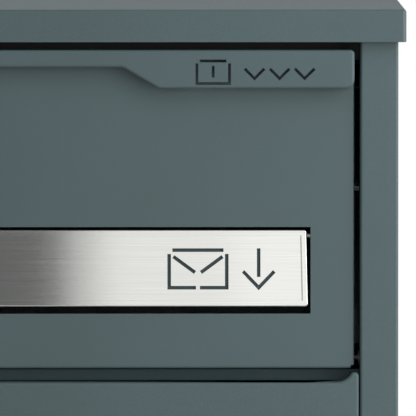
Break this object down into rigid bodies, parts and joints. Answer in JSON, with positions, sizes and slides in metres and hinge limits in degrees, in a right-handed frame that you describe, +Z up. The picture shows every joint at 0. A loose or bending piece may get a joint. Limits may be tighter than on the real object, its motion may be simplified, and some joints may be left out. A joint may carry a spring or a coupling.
{
  "type": "parcel and letter box",
  "caption": "Free-standing sheet-metal parcel box with a tilting top hopper, a stainless letter flap in it, and a hinged collection door with a cam lock.",
  "frame": {"origin": "middle of the footprint, on the ground", "axes": "+Z up, the front with its door and flap faces -Y, +X to the right of someone facing the front"},
  "size_m": [0.4924, 0.35, 1.01],
  "materials": {
    "powder_coat": "blue-grey fine-texture powder coat",
    "stainless_steel": "horizontally brushed stainless steel",
    "dark_paint": "dark slate paint",
    "zinc_plate": "bright zinc-plated steel",
    "rubber": "black EPDM rubber",
    "nylon": "black nylon",
    "brass": "turned brass"
  },
  "bodies": {
    "cabinet": {"left_side_panel": "powder_coat", "right_side_panel": "powder_coat", "back_panel": "powder_coat", "bottom_rail": "powder_coat", "divider_rail": "powder_coat", "top_rail": "powder_coat", "lid_cap": "powder_coat", "base_plate": "zinc_plate", "floor_pan": "zinc_plate", "lid_channel_front": "zinc_plate", "lid_channel_rear": "zinc_plate", "lid_rail_left": "zinc_plate", "lid_rail_right": "zinc_plate", "lid_screw_front_left": "zinc_plate", "lid_screw_front_right": "zinc_plate", "lid_screw_rear_left": "zinc_plate", "lid_screw_rear_right": "zinc_plate", "baffle": "zinc_plate", "baffle_bracket_left": "zinc_plate", "baffle_bracket_right": "zinc_plate", "hopper_stop_left": "zinc_plate", "hopper_stop_right": "zinc_plate", "hinge_bracket_top": "zinc_plate", "hinge_bracket_bottom": "zinc_plate", "strike_plate": "zinc_plate", "door_seal": "rubber", "hopper_seal": "rubber", "wall_hole_plug_1": "rubber", "wall_hole_plug_2": "rubber", "wall_hole_plug_3": "rubber", "wall_hole_plug_4": "rubber", "pivot_bush_left": "nylon", "pivot_bush_right": "nylon"},
    "hopper": {"hopper_front": "powder_coat", "pull_lip": "powder_coat", "hopper_cheek_left": "powder_coat", "hopper_cheek_right": "powder_coat", "hopper_tray": "powder_coat", "hopper_pivot_pin_left": "zinc_plate", "hopper_pivot_pin_right": "zinc_plate", "flap_bracket_left": "zinc_plate", "flap_bracket_right": "zinc_plate", "letter_chute": "stainless_steel"},
    "letter_flap": {"flap_plate": "stainless_steel", "flap_backing": "dark_paint", "flap_rod": "stainless_steel"},
    "collection_door": {"door_skin": "powder_coat", "door_stiffener": "zinc_plate", "hinge_lug_top": "zinc_plate", "hinge_lug_bottom": "zinc_plate", "hinge_pin_top": "brass", "hinge_pin_bottom": "brass", "lock_housing": "zinc_plate", "lock_nut": "zinc_plate"},
    "lock": {"lock_plug": "brass", "lock_cam": "zinc_plate", "lock_cam_screw": "zinc_plate"}
  },
  "joints": [
    {"name": "hopper_tilt", "type": "hinge", "parent": "cabinet", "child": "hopper", "pos_m": [0, -0.154, 0.7312], "axis": [1, 0, 0], "range_deg": [0, 45]},
    {"name": "flap_swing", "type": "hinge", "parent": "hopper", "child": "letter_flap", "pos_m": [0, -0.1575, 0.8289], "axis": [-1, 0, 0], "range_deg": [0, 80]},
    {"name": "door_swing", "type": "hinge", "parent": "cabinet", "child": "collection_door", "pos_m": [-0.2003, -0.16, 0.4], "axis": [0, 0, -1], "range_deg": [0, 90]},
    {"name": "lock_turn", "type": "hinge", "parent": "collection_door", "child": "lock", "pos_m": [0.187, -0.155, 0.5397], "axis": [0, -1, 0], "range_deg": [0, 90]}
  ]
}
